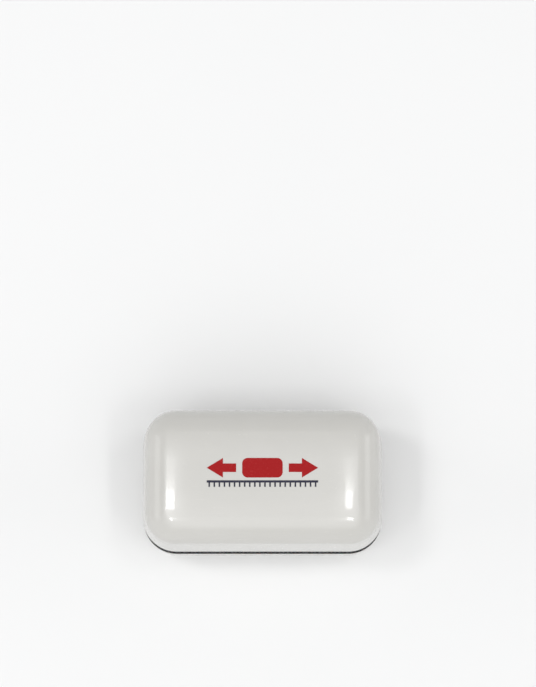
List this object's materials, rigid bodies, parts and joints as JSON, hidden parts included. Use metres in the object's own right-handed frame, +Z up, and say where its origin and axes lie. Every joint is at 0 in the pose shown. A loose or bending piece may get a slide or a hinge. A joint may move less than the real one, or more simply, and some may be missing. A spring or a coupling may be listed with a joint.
{
  "type": "magnetic glass cleaner",
  "caption": "Small floating magnetic cleaner for aquarium glass: two domed plastic halves with facing pads, held together by block magnets, that pull apart to let the glass between them.",
  "frame": {"origin": "on the surface that the part lies on, under the middle of the two halves, at the flat of the wet half's face", "axes": "+X along the halves (longest side), +Y across them, +Z up through the wet half, the pads and the dry half"},
  "size_m": [0.048, 0.028, 0.0319],
  "materials": {
    "cover_plastic": "glossy moulded light grey plastic",
    "plate_plastic": "satin moulded grey plastic",
    "bridge_plastic": "satin natural plastic",
    "magnet_nickel": "nickel plate",
    "yoke_steel": "zinc plated mild steel",
    "packing_foam": "black closed-cell foam",
    "seal_rubber": "black nitrile rubber",
    "adhesive_film": "translucent double-sided tape",
    "felt": "black needle felt",
    "hook_pile": "black woven hook pile",
    "hook_backing": "black woven backing",
    "red_ink": "pad-printed red ink",
    "dark_ink": "pad-printed dark ink"
  },
  "bodies": {
    "wet_half": {"inner_cover": "cover_plastic", "inner_base_plate": "plate_plastic", "inner_magnet_films": "adhesive_film", "inner_magnet_north": "magnet_nickel", "inner_magnet_south": "magnet_nickel", "inner_magnet_bridge": "bridge_plastic", "inner_seal_ring": "seal_rubber", "inner_pad_film": "adhesive_film", "inner_scrub_backing": "hook_backing", "inner_scrub_hooks": "hook_pile"},
    "dry_half": {"outer_cover": "cover_plastic", "outer_base_plate": "plate_plastic", "outer_magnet_films": "adhesive_film", "outer_magnet_north": "magnet_nickel", "outer_magnet_south": "magnet_nickel", "outer_yoke_plate": "yoke_steel", "outer_foam_packing": "packing_foam", "outer_pad_film": "adhesive_film", "outer_felt_pad": "felt", "printed_slider": "red_ink", "printed_rule": "dark_ink"}
  },
  "joints": [
    {"name": "halves_pull_apart", "type": "slide", "parent": "wet_half", "child": "dry_half", "axis": [0, 0, 1], "range_m": [0, 0.04]}
  ]
}
